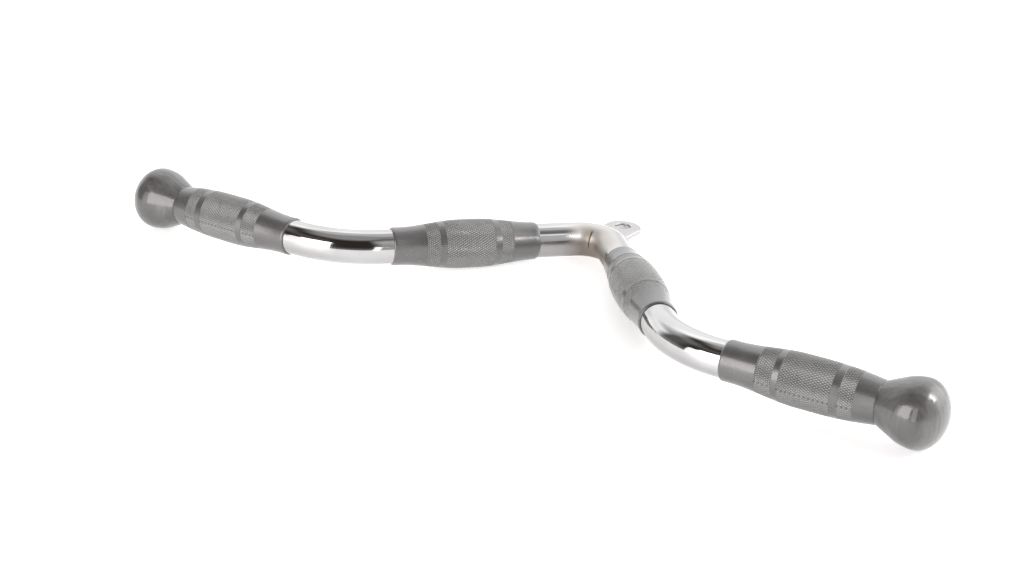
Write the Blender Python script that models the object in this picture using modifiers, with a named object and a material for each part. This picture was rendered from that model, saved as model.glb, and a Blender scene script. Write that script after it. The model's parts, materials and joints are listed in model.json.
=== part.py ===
"""Multi-exercise cable bar: a bent chromed steel bar with a welded eye lug, four shaped
rubber grips and two rubber end knobs.

Metres, +Z up. The bar is drawn flat in its own plane, with the apex corner of its centreline
at the plane's origin, the lug towards +Y and the arms spreading to -X and +X and back to -Y.
The last step lays the whole bar down on its knobs and inner grips, with z = 0 under it and the
origin below the middle of its box."""

import bpy
import bmesh
import numpy as np
from math import acos, atan2, cos, hypot, pi, radians, sin, sqrt, tan
from mathutils import Matrix, Vector

NAME = "multi_exercise_bar"

# The clearance between two pieces that touch on the real bar, and between a bore and what it takes
SEAT_GAP = 0.0003
BORE_CLEARANCE = 0.0004

# Steel bar, its angles and its bends, all on the centreline
BAR_DIAMETER = 0.028
ARM_ANGLE = radians(49.0)
OUTER_ARM_RISE = radians(1.0)
APEX_BEND_RADIUS = 0.024
OUTER_BEND_RADIUS = 0.080
BARE_BAR_AT_APEX = 0.0344
BARE_BAR_BEFORE_BEND = 0.0089
BARE_BAR_AFTER_BEND = 0.0038

# Rubber grips, band by band, from the end beside the outer bend
LONG_CUFF = 0.028
NARROW_KNURL = 0.0105
PLAIN_BAND = 0.0075
WIDE_KNURL = 0.0365
INNER_SHORT_CUFF = 0.0225
OUTER_SHORT_CUFF = 0.015
GRIP_END_DIAMETER = 0.0308
INNER_GRIP_DIAMETER = 0.040
OUTER_GRIP_DIAMETER = 0.039
NECK_DIAMETER = 0.032
SWELL_START = 0.007
CROWN_LENGTH = 0.014
ROUNDED_END_LENGTH = 0.0035
KNURL_DEPTH = 0.0004

# Rubber end knobs and what holds them on the bar
BALL_DIAMETER = 0.051
BALL_FRONT_LENGTH = 0.019
BALL_BACK_LENGTH = 0.030
NECK_TO_BALL_CENTRE = 0.028
BAR_INTO_KNOB = 0.016
INSERT_DIAMETER = 0.020
INSERT_LENGTH = 0.015
STUD_DIAMETER = 0.010
STUD_INTO_BAR = 0.015
STUD_INTO_INSERT = 0.013

# Eye lug and its weld
LUG_WIDTH = 0.031
LUG_THICKNESS = 0.005
LUG_EDGE_ROUND = 0.0008
EYE_DIAMETER = 0.013
EYE_REACH = 0.029
ROOT_FILLET_RADIUS = 0.009
ROOT_LAND = 0.0015
WELD_BEAD_DIAMETER = 0.0044
WELD_END_MARGIN = 0.0015

# How finely round shapes are divided
TURNED_STEPS = 32
BAR_BEVEL_RESOLUTION = 14
BEAD_BEVEL_RESOLUTION = 2
BEND_STEP = radians(6.5)
STUD_SIDES = 20
BAND_PIECES = (5, 2, 1, 4, 1, 2, 3)
ROUNDED_END_PIECES = 4
BALL_FRONT_PIECES = 8
BALL_BACK_PIECES = 3
SADDLE_PIECES = 12
FILLET_PIECES = 6
LUG_END_PIECES = 18
EYE_PIECES = 24
BEAD_PIECES = 10
MERGE_DISTANCE = 0.00001

bar_radius = BAR_DIAMETER / 2
bore_radius = bar_radius + BORE_CLEARANCE
inner_grip_length = LONG_CUFF + 2 * NARROW_KNURL + 2 * PLAIN_BAND + WIDE_KNURL + INNER_SHORT_CUFF
outer_grip_length = LONG_CUFF + 2 * NARROW_KNURL + 2 * PLAIN_BAND + WIDE_KNURL + OUTER_SHORT_CUFF
outer_turn = ARM_ANGLE + OUTER_ARM_RISE
apex_tangent = APEX_BEND_RADIUS * tan(ARM_ANGLE)
bend_tangent = OUTER_BEND_RADIUS * tan(outer_turn / 2)

# Stations along the inner arm, from the apex corner
inner_grip_start = apex_tangent + BARE_BAR_AT_APEX
inner_grip_end = inner_grip_start + inner_grip_length
bend_corner = inner_grip_end + BARE_BAR_BEFORE_BEND + bend_tangent

# Stations along the outer arm, from the outer bend's corner
outer_grip_start = bend_tangent + BARE_BAR_AFTER_BEND
neck = outer_grip_start + outer_grip_length
bar_end = neck + BAR_INTO_KNOB

# Places about the lug, in the bar's plane: the middle of the apex bend, the radius of the lug's
# seat about it, the centre of the eye, and the right root fillet's centre and its angle on the seat
apex_bend_y = -APEX_BEND_RADIUS / cos(ARM_ANGLE)
lug_seat_radius = APEX_BEND_RADIUS + bar_radius + SEAT_GAP
eye_y = apex_bend_y + APEX_BEND_RADIUS + bar_radius + EYE_REACH
fillet_x = LUG_WIDTH / 2 + ROOT_FILLET_RADIUS
fillet_reach = lug_seat_radius + ROOT_LAND + ROOT_FILLET_RADIUS
fillet_y = apex_bend_y + sqrt(max(fillet_reach ** 2 - fillet_x ** 2, 0))
root_angle = atan2(fillet_y - apex_bend_y, fillet_x)

SIDES = {"left": -1, "right": 1}


def start_scene():
    """Empties the scene and makes one collection for the parts and one for the cutters."""
    for old in list(bpy.data.objects):
        bpy.data.objects.remove(old, do_unlink=True)
    made = []
    for name in (NAME, NAME + "_cutters"):
        collection = bpy.data.collections.new(name)
        bpy.context.scene.collection.children.link(collection)
        made.append(collection)
    return made


def material(name, colour, roughness, metallic):
    """One Principled material with the colour, roughness and metallic value of a finish."""
    made = bpy.data.materials.new(name)
    made.use_nodes = True
    made.diffuse_color = (*colour, 1)
    shader = made.node_tree.nodes["Principled BSDF"]
    shader.inputs["Base Color"].default_value = (*colour, 1)
    shader.inputs["Roughness"].default_value = roughness
    shader.inputs["Metallic"].default_value = metallic
    return made


def add_object(name, data, collection, finish=None):
    """Links a new object that holds the data, with its finish."""
    made = bpy.data.objects.new(name, data)
    collection.objects.link(made)
    if finish:
        data.materials.append(finish)
    return made


def smooth(mesh, angle=radians(30)):
    """Shades a mesh smooth and keeps the edges sharper than the angle."""
    mesh.shade_smooth()
    mesh.set_sharp_from_angle(angle=angle)


def arm_frame(side, angle, start):
    """The place of a turned piece on an arm: its local +Z runs outwards along the arm from the
    start point, and its local +X stands up out of the bar's plane."""
    along = Vector((side * cos(angle), -sin(angle), 0))
    up = Vector((0, 0, 1))
    across = along.cross(up)
    frame = Matrix((up, across, along)).transposed().to_4x4()
    frame.translation = start
    return frame


def inner_arm_point(side, distance):
    """A point on the inner arm's line, a distance from the apex corner."""
    return Vector((side * cos(ARM_ANGLE), -sin(ARM_ANGLE), 0)) * distance


def outer_arm_point(side, distance):
    """A point on the outer arm's line, a distance from the outer bend's corner."""
    along = Vector((side * cos(OUTER_ARM_RISE), sin(OUTER_ARM_RISE), 0))
    return inner_arm_point(side, bend_corner) + along * distance


def turned(name, profile, frame, collection, finish, closed):
    """A turned solid: a profile of (radius, height) points, top to bottom down its outer side,
    carried round the local Z axis. A closed profile makes a ring, an open one ends on the axis."""
    mesh = bpy.data.meshes.new(name)
    count = len(profile)
    edges = [(i, i + 1) for i in range(count - 1)]
    if closed:
        edges.append((count - 1, 0))
    mesh.from_pydata([(radius, 0, height) for radius, height in profile], edges, [])
    made = add_object(name, mesh, collection, finish)
    screw = made.modifiers.new("turn", "SCREW")
    screw.steps = TURNED_STEPS
    screw.render_steps = TURNED_STEPS
    screw.use_merge_vertices = True
    screw.merge_threshold = MERGE_DISTANCE
    screw.use_smooth_shade = True
    made.matrix_local = frame
    return made


def smooth_step(x):
    """Rises from 0 to 1 with no slope at either end."""
    t = np.clip(x, 0, 1)
    return t * t * (3 - 2 * t)


def grip_radius(distance, length, widest, far_radius, falls_to_neck):
    """The barrel's radius at a distance from its end beside the outer bend: a straight start, an
    S-shaped rise to the crown over the wide knurl, and a fall to the far end. The fall is
    S-shaped on an inner grip and a quarter of a parabola on an outer one, into its neck."""
    crest = LONG_CUFF + NARROW_KNURL + PLAIN_BAND + WIDE_KNURL / 2
    rise_end = crest - CROWN_LENGTH / 2
    fall_start = crest + CROWN_LENGTH / 2
    near_radius = GRIP_END_DIAMETER / 2
    if distance < crest:
        share = smooth_step((distance - SWELL_START) / (rise_end - SWELL_START))
        return near_radius + (widest - near_radius) * float(share)
    fallen = float(np.clip((distance - fall_start) / (length - fall_start), 0, 1))
    share = fallen ** 2 if falls_to_neck else float(smooth_step(fallen))
    return widest - (widest - far_radius) * share


def grip_profile(length, widest, far_radius, falls_to_neck):
    """The closed section of one grip: its barrel with the knurled bands sunk by their depth, a
    rounded far end on an inner grip, and its bore."""
    band_lengths = (LONG_CUFF, NARROW_KNURL, PLAIN_BAND, WIDE_KNURL, PLAIN_BAND, NARROW_KNURL)
    edges = np.concatenate([[0], np.cumsum(band_lengths), [length]])
    outer = []
    for number, pieces in enumerate(BAND_PIECES):
        sunk = KNURL_DEPTH if number % 2 else 0
        for distance in np.linspace(edges[number], edges[number + 1], pieces + 1):
            radius = grip_radius(distance, length, widest, far_radius, falls_to_neck) - sunk
            outer.append((radius, float(distance)))
    if not falls_to_neck:
        outer = rounded_far_end(outer, length, far_radius)
    bore = [(bore_radius, 0), (bore_radius, length)]
    return outer[::-1] + bore


def rounded_far_end(outer, length, far_radius):
    """Replaces the last stretch of a barrel with a quarter of an ellipse down to the bore's lip."""
    lip = bore_radius + 2 * SEAT_GAP
    start = length - ROUNDED_END_LENGTH
    kept = [point for point in outer if point[1] < start]
    for turn in np.linspace(0, pi / 2, ROUNDED_END_PIECES + 1):
        radius = lip + (far_radius - lip) * cos(turn)
        kept.append((radius, start + ROUNDED_END_LENGTH * sin(turn)))
    return kept


def knob_profile():
    """The section of one end knob, from the tip of its ball back along a cone that is tangent to
    the ball and meets the neck, then up the bar's socket and the insert's pocket. The ball is two
    half ellipses, short in front and long behind. Heights start at the neck."""
    ball = BALL_DIAMETER / 2
    neck_radius = NECK_DIAMETER / 2
    neck_depth = (NECK_TO_BALL_CENTRE - SEAT_GAP) * ball / BALL_BACK_LENGTH
    tangent_turn = atan2(neck_depth, neck_radius)
    tangent_turn -= acos(min(1, ball / hypot(neck_depth, neck_radius)))
    outer = []
    for turn in np.linspace(0, pi / 2, BALL_FRONT_PIECES + 1):
        outer.append((ball * sin(turn), NECK_TO_BALL_CENTRE + BALL_FRONT_LENGTH * cos(turn)))
    for turn in np.linspace(0, tangent_turn, BALL_BACK_PIECES + 1)[1:]:
        outer.append((ball * cos(turn), NECK_TO_BALL_CENTRE - BALL_BACK_LENGTH * sin(turn)))
    socket_floor = BAR_INTO_KNOB + SEAT_GAP
    pocket_radius = INSERT_DIAMETER / 2 + BORE_CLEARANCE
    pocket_floor = socket_floor + INSERT_LENGTH + SEAT_GAP
    inner = [(neck_radius, SEAT_GAP), (bore_radius, SEAT_GAP), (bore_radius, socket_floor)]
    inner += [(pocket_radius, socket_floor), (pocket_radius, pocket_floor), (0, pocket_floor)]
    return outer + inner


def insert_profile():
    """The closed section of one knob insert: a plain steel bush, blind at its far end."""
    radius = INSERT_DIAMETER / 2
    bore = STUD_DIAMETER / 2 + BORE_CLEARANCE
    bottom = BAR_INTO_KNOB + SEAT_GAP
    bore_floor = bottom + STUD_INTO_INSERT
    return [(0, bottom + INSERT_LENGTH), (radius, bottom + INSERT_LENGTH), (radius, bottom),
            (bore, bottom), (bore, bore_floor), (0, bore_floor)]


def stud_profile():
    """The section of one stud, screwed half into the bar's end and half into the insert."""
    radius = STUD_DIAMETER / 2
    top = BAR_INTO_KNOB + STUD_INTO_INSERT
    bottom = BAR_INTO_KNOB - STUD_INTO_BAR
    return [(0, top), (radius, top), (radius, bottom), (0, bottom)]


def half_centreline():
    """The right half of the bar's centreline, from the middle of the apex bend to the bar's end."""
    points = []
    apex_centre = Vector((0, apex_bend_y, 0))
    steps = max(3, round(ARM_ANGLE / BEND_STEP))
    for turn in np.linspace(0, ARM_ANGLE, steps + 1):
        points.append(apex_centre + APEX_BEND_RADIUS * Vector((sin(turn), cos(turn), 0)))
    bend_start = inner_arm_point(1, bend_corner - bend_tangent)
    towards_centre = Vector((sin(ARM_ANGLE), cos(ARM_ANGLE), 0))
    bend_centre = bend_start + OUTER_BEND_RADIUS * towards_centre
    steps = max(3, round(outer_turn / BEND_STEP))
    for turn in np.linspace(ARM_ANGLE, -OUTER_ARM_RISE, steps + 1):
        points.append(bend_centre - OUTER_BEND_RADIUS * Vector((sin(turn), cos(turn), 0)))
    points.append(outer_arm_point(1, bar_end))
    return points


def tube_curve(name, points, radius, resolution, collection, finish=None):
    """A round rod along the points, with filled ends."""
    curve = bpy.data.curves.new(name, "CURVE")
    curve.dimensions = "3D"
    curve.bevel_depth = radius
    curve.bevel_resolution = resolution
    curve.use_fill_caps = True
    spline = curve.splines.new("POLY")
    spline.points.add(len(points) - 1)
    for spot, point in zip(spline.points, points):
        spot.co = (*point, 1)
    return add_object(name, curve, collection, finish)


def curve_to_mesh(curve_object, collection):
    """Turns a curve object into a mesh object of the same name, with its loose caps welded on."""
    depsgraph = bpy.context.evaluated_depsgraph_get()
    mesh = bpy.data.meshes.new_from_object(curve_object.evaluated_get(depsgraph))
    build = bmesh.new()
    build.from_mesh(mesh)
    bmesh.ops.remove_doubles(build, verts=build.verts, dist=MERGE_DISTANCE)
    bmesh.ops.recalc_face_normals(build, faces=build.faces)
    build.to_mesh(mesh)
    build.free()
    smooth(mesh)
    name = curve_object.name
    place = curve_object.matrix_world.copy()
    bpy.data.objects.remove(curve_object, do_unlink=True)
    mesh.name = name
    made = add_object(name, mesh, collection)
    made.matrix_world = place
    return made


def make_bar(parts, cutters, chrome):
    """The bent bar, drilled at both ends for the studs."""
    right = half_centreline()
    left = [Vector((-point.x, point.y, 0)) for point in right[:0:-1]]
    rod = tube_curve("bent_bar", left + right, bar_radius, BAR_BEVEL_RESOLUTION, parts, chrome)
    bar = curve_to_mesh(rod, parts)
    hole_depth = STUD_INTO_BAR + SEAT_GAP
    for side_name, side in SIDES.items():
        bpy.ops.mesh.primitive_cylinder_add(
            vertices=STUD_SIDES, radius=STUD_DIAMETER / 2 + BORE_CLEARANCE, depth=2 * hole_depth)
        cutter = bpy.context.object
        cutter.name = side_name + "_stud_hole_cutter"
        for old in list(cutter.users_collection):
            old.objects.unlink(cutter)
        cutters.objects.link(cutter)
        cutter.matrix_world = arm_frame(side, -OUTER_ARM_RISE, outer_arm_point(side, bar_end))
        cutter.hide_render = True
        cutter.display_type = "WIRE"
        drill = bar.modifiers.new(side_name + "_stud_hole", "BOOLEAN")
        drill.operation = "DIFFERENCE"
        drill.object = cutter
    return bar


def make_grips(parts, rubber):
    """Four grips: two barrels with a rounded inner end, and two that run into a knob's neck."""
    inner = grip_profile(inner_grip_length, INNER_GRIP_DIAMETER / 2, GRIP_END_DIAMETER / 2, False)
    outer = grip_profile(outer_grip_length, OUTER_GRIP_DIAMETER / 2, NECK_DIAMETER / 2, True)
    grips = []
    for side_name, side in SIDES.items():
        outwards = arm_frame(side, ARM_ANGLE, inner_arm_point(side, inner_grip_end))
        facing_apex = outwards @ Matrix.Rotation(pi, 4, "X")
        grips.append(turned(f"inner_{side_name}_grip", inner, facing_apex, parts, rubber, True))
        place = arm_frame(side, -OUTER_ARM_RISE, outer_arm_point(side, outer_grip_start))
        grips.append(turned(f"outer_{side_name}_grip", outer, place, parts, rubber, True))
    return grips


def make_knobs(parts, rubber, steel):
    """Two end knobs, each with the bush moulded into it and the stud that holds it on the bar."""
    made = []
    for side_name, side in SIDES.items():
        place = arm_frame(side, -OUTER_ARM_RISE, outer_arm_point(side, neck))
        made.append(turned(f"{side_name}_end_knob", knob_profile(), place, parts, rubber, False))
        made.append(turned(f"{side_name}_knob_insert", insert_profile(), place, parts, steel, False))
        made.append(turned(f"{side_name}_knob_stud", stud_profile(), place, parts, steel, False))
    return made


def arc(centre, radius, start, end, steps):
    """Points round an arc, from one angle to another."""
    return [(centre[0] + radius * cos(a), centre[1] + radius * sin(a))
            for a in np.linspace(start, end, steps + 1)]


def lug_outline():
    """The lug in plan, anticlockwise: its saddle on the bar, the right root fillet, the side, the
    round end about the eye, and the left side and fillet."""
    saddle = arc((0, apex_bend_y), lug_seat_radius, pi - root_angle, root_angle, SADDLE_PIECES)
    right = arc((fillet_x, fillet_y), ROOT_FILLET_RADIUS, pi + root_angle, pi, FILLET_PIECES)
    end = arc((0, eye_y), LUG_WIDTH / 2, 0, pi, LUG_END_PIECES)
    left = arc((-fillet_x, fillet_y), ROOT_FILLET_RADIUS, 0, -root_angle, FILLET_PIECES)
    return saddle + right + end + left


def make_lug(parts, chrome):
    """The eye lug: a flat plate with rounded edges in the bar's plane, pierced by its eye."""
    curve = bpy.data.curves.new("eye_lug", "CURVE")
    curve.dimensions = "2D"
    curve.fill_mode = "BOTH"
    curve.extrude = LUG_THICKNESS / 2
    eye = arc((0, eye_y), EYE_DIAMETER / 2, 2 * pi, 0, EYE_PIECES)[:-1]
    for outline in (lug_outline(), eye):
        spline = curve.splines.new("POLY")
        spline.points.add(len(outline) - 1)
        for spot, (x, y) in zip(spline.points, outline):
            spot.co = (x, y, 0, 1)
        spline.use_cyclic_u = True
    lug = curve_to_mesh(add_object("eye_lug", curve, parts, chrome), parts)
    rounding = lug.modifiers.new("rounded_edges", "BEVEL")
    rounding.width = LUG_EDGE_ROUND
    rounding.segments = 2
    rounding.angle_limit = radians(60)
    return lug


def make_weld(parts, chrome):
    """Two weld beads that run round the apex bend, in the corners between bar and lug."""
    bead = WELD_BEAD_DIAMETER / 2
    height = LUG_THICKNESS / 2 + SEAT_GAP + bead
    from_bar = bar_radius + SEAT_GAP + bead
    radius = APEX_BEND_RADIUS + sqrt(from_bar ** 2 - height ** 2)
    margin = (bead + WELD_END_MARGIN) / radius
    first = root_angle + margin
    beads = []
    for name, level in (("upper_weld_bead", 1), ("lower_weld_bead", -1)):
        path = arc((0, apex_bend_y), radius, first, pi - first, BEAD_PIECES)
        points = [Vector((x, y, level * height)) for x, y in path]
        beads.append(tube_curve(name, points, bead, BEAD_BEVEL_RESOLUTION, parts, chrome))
    return beads


def world_points(part):
    """All corners of a part as its modifiers leave it, in world space."""
    depsgraph = bpy.context.evaluated_depsgraph_get()
    evaluated = part.evaluated_get(depsgraph)
    mesh = evaluated.to_mesh()
    flat = np.empty(len(mesh.vertices) * 3)
    mesh.vertices.foreach_get("co", flat)
    place = np.array(evaluated.matrix_world)
    evaluated.to_mesh_clear()
    return flat.reshape(-1, 3) @ place[:3, :3].T + place[:3, 3]


def lay_down(parts, cutters):
    """Parents every part and cutter to one empty and rests the bar on its knobs and inner grips:
    the bar's plane is tipped about X until both pairs touch z = 0, and the box is centred on the
    origin."""
    pieces = list(parts.objects)
    empty = bpy.data.objects.new("bar_plane", None)
    parts.objects.link(empty)
    for part in pieces + list(cutters.objects):
        part.parent = empty
    bpy.context.view_layer.update()
    points = {part.name: world_points(part) for part in pieces}
    knobs = np.concatenate([points[f"{side}_end_knob"] for side in SIDES])
    grips = np.concatenate([points[f"inner_{side}_grip"] for side in SIDES])
    tip = 0
    for _ in range(12):
        lowest_knob = knobs[np.argmin(knobs[:, 2] * cos(tip) + knobs[:, 1] * sin(tip))]
        lowest_grip = grips[np.argmin(grips[:, 2] * cos(tip) + grips[:, 1] * sin(tip))]
        tip = -atan2(lowest_grip[2] - lowest_knob[2], lowest_grip[1] - lowest_knob[1])
    empty.rotation_euler = (tip, 0, 0)
    bpy.context.view_layer.update()
    laid = np.concatenate([world_points(part) for part in pieces])
    low = laid.min(axis=0)
    high = laid.max(axis=0)
    empty.location = (-(low[0] + high[0]) / 2, -(low[1] + high[1]) / 2, -low[2])
    bpy.context.view_layer.update()


def main():
    parts, cutters = start_scene()
    chrome = material("bright_chrome_plate", (0.80, 0.79, 0.78), 0.08, 1.0)
    rubber = material("moulded_grey_rubber", (0.19, 0.18, 0.18), 0.42, 0.0)
    steel = material("zinc_plated_steel", (0.60, 0.60, 0.58), 0.35, 1.0)
    make_bar(parts, cutters, chrome)
    make_lug(parts, chrome)
    make_weld(parts, chrome)
    make_grips(parts, rubber)
    make_knobs(parts, rubber, steel)
    lay_down(parts, cutters)


main()
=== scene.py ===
import json
from math import acos, atan2, cos, hypot, pi, radians, sin, sqrt, tan

import bmesh
import bpy
import numpy as np
from mathutils import Matrix, Vector


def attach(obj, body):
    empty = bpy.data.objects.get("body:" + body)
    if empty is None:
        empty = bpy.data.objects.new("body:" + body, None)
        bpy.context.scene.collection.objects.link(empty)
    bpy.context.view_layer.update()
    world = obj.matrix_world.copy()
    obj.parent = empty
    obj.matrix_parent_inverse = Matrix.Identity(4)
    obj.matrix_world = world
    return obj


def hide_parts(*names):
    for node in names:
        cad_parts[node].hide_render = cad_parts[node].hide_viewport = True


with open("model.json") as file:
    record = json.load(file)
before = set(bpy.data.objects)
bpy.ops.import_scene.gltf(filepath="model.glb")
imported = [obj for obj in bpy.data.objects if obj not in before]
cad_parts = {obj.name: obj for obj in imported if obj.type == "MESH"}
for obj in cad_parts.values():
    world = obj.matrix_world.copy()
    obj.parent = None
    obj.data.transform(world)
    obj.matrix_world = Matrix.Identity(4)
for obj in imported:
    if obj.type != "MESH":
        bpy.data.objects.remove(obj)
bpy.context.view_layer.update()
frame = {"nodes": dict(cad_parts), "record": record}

# The part's own sizes, in metres and as its solids have them. Clearances first
SEAT_GAP = 0.0003
BORE_CLEARANCE = 0.0004

# The steel bar, its angles and its bends, all on the centreline
BAR_DIAMETER = 0.028
ARM_ANGLE = radians(49.0)
OUTER_ARM_RISE = radians(1.0)
APEX_BEND_RADIUS = 0.024
OUTER_BEND_RADIUS = 0.080
BARE_BAR_AT_APEX = 0.0344
BARE_BAR_BEFORE_BEND = 0.0089
BARE_BAR_AFTER_BEND = 0.0038
BAR_END_CHAMFER = 0.001

# The plate at the apex bend that no wheel could reach: its middle, along the bar from the apex
DULL_PLATE_SHIFT = 0.012

# The crease inside the apex bend: its depth and width, its place along the bar from the apex, how
# far it leans along the bar with height, and the shares of the radius inwards over which it deepens
CREASE_DEPTH = 0.00025
CREASE_WIDTH = 0.001
CREASE_SHIFT = -0.0036
CREASE_LEAN = 0.15
CREASE_RISE = (0.6, 0.85)

# The grips, from the end beside the outer bend. Their bands are a long cuff, then by turns a knurled
# and a plain one, and a short cuff
INNER_GRIP_LENGTH = 0.123
OUTER_GRIP_LENGTH = 0.1155
INNER_BAND_STARTS = (0, 0.027, 0.0375, 0.0427, 0.0837, 0.089, 0.0997)
OUTER_BAND_STARTS = (0, 0.028, 0.0412, 0.0458, 0.0843, 0.0898, 0.1006)
CROWN_MIDDLE = 0.06425
GRIP_END_DIAMETER = 0.0308
INNER_GRIP_DIAMETER = 0.040
OUTER_GRIP_DIAMETER = 0.039
NECK_DIAMETER = 0.032
SWELL_START = 0.007
CROWN_LENGTH = 0.014
ROUNDED_END_LENGTH = 0.0035
KNURL_DEPTH = 0.00035

# The knurl's diamonds: how many stand round a grip, their length along it, the cells of the mesh
# that one takes each way, the wall at a band's edge, and how many times their depth they would rise
# with no flat tops. Their lines then lean 30 degrees from the grip's axis
DIAMONDS_ROUND = 62
DIAMOND_LENGTH = 0.0034
CELLS_PER_DIAMOND = 6
KNURL_EDGE_WALL = 0.00012
KNURL_TOP_CUT = 1.15

# What the grips' mould leaves: rounded edges, mouths that hug the bar and two fine parting ridges
GRIP_EDGE_ROUND = 0.0012
GRIP_EDGE_LENGTH = 0.0021
MOUTH_GAP = 0.00006
MOUTH_LENGTH = 0.001
PARTING_RIDGE_HEIGHT = 0.00006
RIDGE_COLUMNS = 2
TORN_COLUMNS = 3

# The sides' signs, and where a parting ridge runs on each side's grips, as an angle round the grip
# from straight up
SIDES = {"left": -1, "right": 1}
OUTER_PARTING = {-1: radians(84), 1: radians(101)}
INNER_PARTING = {-1: radians(-20), 1: radians(20)}

# The end knobs, and the fine seam at the neck between each of them and its grip
BALL_DIAMETER = 0.051
BALL_FRONT_LENGTH = 0.019
BALL_BACK_LENGTH = 0.030
NECK_TO_BALL_CENTRE = 0.028
BAR_INTO_KNOB = 0.016
INSERT_DIAMETER = 0.020
INSERT_LENGTH = 0.015
STUD_DIAMETER = 0.010
STUD_INTO_BAR = 0.015
NECK_EDGE_ROUND = 0.00025
NECK_SEAM = 0.00005
CONE_SHARE = 0.97

# The eye lug and its weld
LUG_WIDTH = 0.031
LUG_THICKNESS = 0.005
LUG_EDGE_ROUND = 0.0008
LUG_RIM_ROUND = 0.0018
EYE_DIAMETER = 0.013
EYE_REACH = 0.029
ROOT_FILLET_RADIUS = 0.009
ROOT_LAND = 0.0015
WELD_FILLET_RADIUS = 0.005
WELD_TAPER = 0.012
WELD_BITE = 0.0003

# How the lug's mesh runs: how deep its root sinks into the bar, how many roundings from an edge the
# flat face starts, and for the loop between its eye and its outline, half its width, the share of
# that which its lower corners have, and how far up the lower end lies
LUG_SINK = 0.0005
FACE_START = 1.4
WAIST_X = 0.0115
WAIST_CORNER = 0.85
WAIST_Y = 0.003

# Where the record's two mounts lie along the lug, from the apex corner
MOUNT_REACH = 0.014

# The camera: its place, the way that it looks, its roll, its lens and its sensor's width in
# millimetres, and how far it sees
CAMERA_PLACE = (0.64743, -1.15869, 0.58214)
CAMERA_AZIMUTH = radians(30.838)
CAMERA_ELEVATION = radians(24.056)
CAMERA_ROLL = radians(2.074)
CAMERA_LENS = 63.16
CAMERA_SENSOR = 36.0
CAMERA_REACH = 50.0

# The studio: how far the floor reaches, the dim room's light, and the patches of light round it.
# A patch says how far round it lies, in degrees from the front (-Y) towards the right (+X), how far
# up, half its width and height and half its soft border, all in degrees, and its strength
FLOOR_REACH = 12.0
ROOM_LIGHT = 0.05
STUDIO_LIGHT = (
    (176.5, 16.0, 71.5, 42.0, 7.0, 1.05),
    (176.5, 37.0, 71.5, 21.0, 7.0, 0.45),
    (-98.0, 2.0, 14.0, 26.0, 7.0, 1.5),
    (-98.0, 37.0, 14.0, 13.0, 7.0, 0.55),
    (-105.0, 42.0, 8.0, 11.0, 7.0, 0.42),
    (-40.0, 46.0, 42.0, 6.0, 6.0, 0.1),
    (-160.0, 62.0, 55.0, 14.0, 12.0, 0.6),
    (-72.0, 18.0, 15.0, 36.0, 7.0, 0.12),
    (84.0, 20.0, 22.0, 37.0, 9.0, 0.72),
    (84.0, 51.0, 5.0, 4.0, 2.5, 0.8),
    (132.0, 28.0, 27.0, 24.0, 10.0, 1.5),
    (0.0, 2.0, 180.0, 8.0, 6.0, 0.2),
    (0.0, 90.0, 180.0, 25.0, 8.0, 0.44),
)

# The lamps that stand near enough for each end of the part to see them elsewhere: the softbox at
# the front left, a weaker reflector beside it, a small lamp at the right, and a card before the
# right knob that shows only as a reflection. Each has its middle, the point that it faces, its
# width and height, its radiance, and whether it lights matt surfaces too
LAMPS = (
    ((-0.335, -1.13, 0.42), (-0.335, 0.0, 0.42), 0.69, 0.82, 5.6, True),
    ((-0.855, -1.13, 0.37), (-0.855, 0.0, 0.37), 0.35, 0.72, 2.0, True),
    ((0.72, 0.006, 0.436), (0.33, -0.21, 0.035), 0.12, 0.3, 16.0, True),
    ((0.345, -0.38, 0.12), (0.345, -0.1, 0.04), 0.13, 0.22, 2.4, False),
)

# The lamps' colour, slightly warm
LAMP_COLOUR = (1.0, 0.95, 0.945)

# A shadow painted into the light table's glow: its middle on the floor, right of the part's middle, the
# distances from there between which the glow rises to the rest's, and the glow at its middle
PAINTED_SHADOW_PLACE = (0.065, -0.085, 0.0)
PAINTED_SHADOW_REACH = (0.04, 0.15)
PAINTED_SHADOW_GLOW = 0.51

# How finely the smooth shapes are divided, and the turn past which an edge looks sharp
BEND_STEP = radians(1.5)
BAR_COLUMNS = 112
KNOB_COLUMNS = 128
PLAIN_ROW = 0.0013
WELD_SIDE_COLUMNS = 97
WELD_END_COLUMNS = 7
SHARP_TURN = radians(24)

MILLIMETRE = 0.001
WHITE = (1.0, 1.0, 1.0, 1.0)

# What the shader says for both moulded rubbers: a dull body under a clear, glossier skin
RUBBER = (("IOR", 1.52), ("Specular IOR Level", 0.8), ("Coat Weight", 1.0))

# What follows from these sizes. A place on an arm is a distance from its corner of the centreline
bar_radius = BAR_DIAMETER / 2
bore_radius = bar_radius + BORE_CLEARANCE
outer_turn = ARM_ANGLE + OUTER_ARM_RISE
apex_tangent = APEX_BEND_RADIUS * tan(ARM_ANGLE)
bend_tangent = OUTER_BEND_RADIUS * tan(outer_turn / 2)
inner_grip_end = apex_tangent + BARE_BAR_AT_APEX + INNER_GRIP_LENGTH
bend_corner = inner_grip_end + BARE_BAR_BEFORE_BEND + bend_tangent
outer_grip_start = bend_tangent + BARE_BAR_AFTER_BEND
neck = outer_grip_start + OUTER_GRIP_LENGTH
bar_end = neck + BAR_INTO_KNOB
apex_bend_y = -APEX_BEND_RADIUS / cos(ARM_ANGLE)
eye_y = apex_bend_y + APEX_BEND_RADIUS + bar_radius + EYE_REACH
seat_radius = APEX_BEND_RADIUS + bar_radius + SEAT_GAP
fillet_x = LUG_WIDTH / 2 + ROOT_FILLET_RADIUS
fillet_reach = seat_radius + ROOT_LAND + ROOT_FILLET_RADIUS
fillet_y = apex_bend_y + sqrt(fillet_reach ** 2 - fillet_x ** 2)
root_angle = atan2(fillet_y - apex_bend_y, fillet_x)


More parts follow.
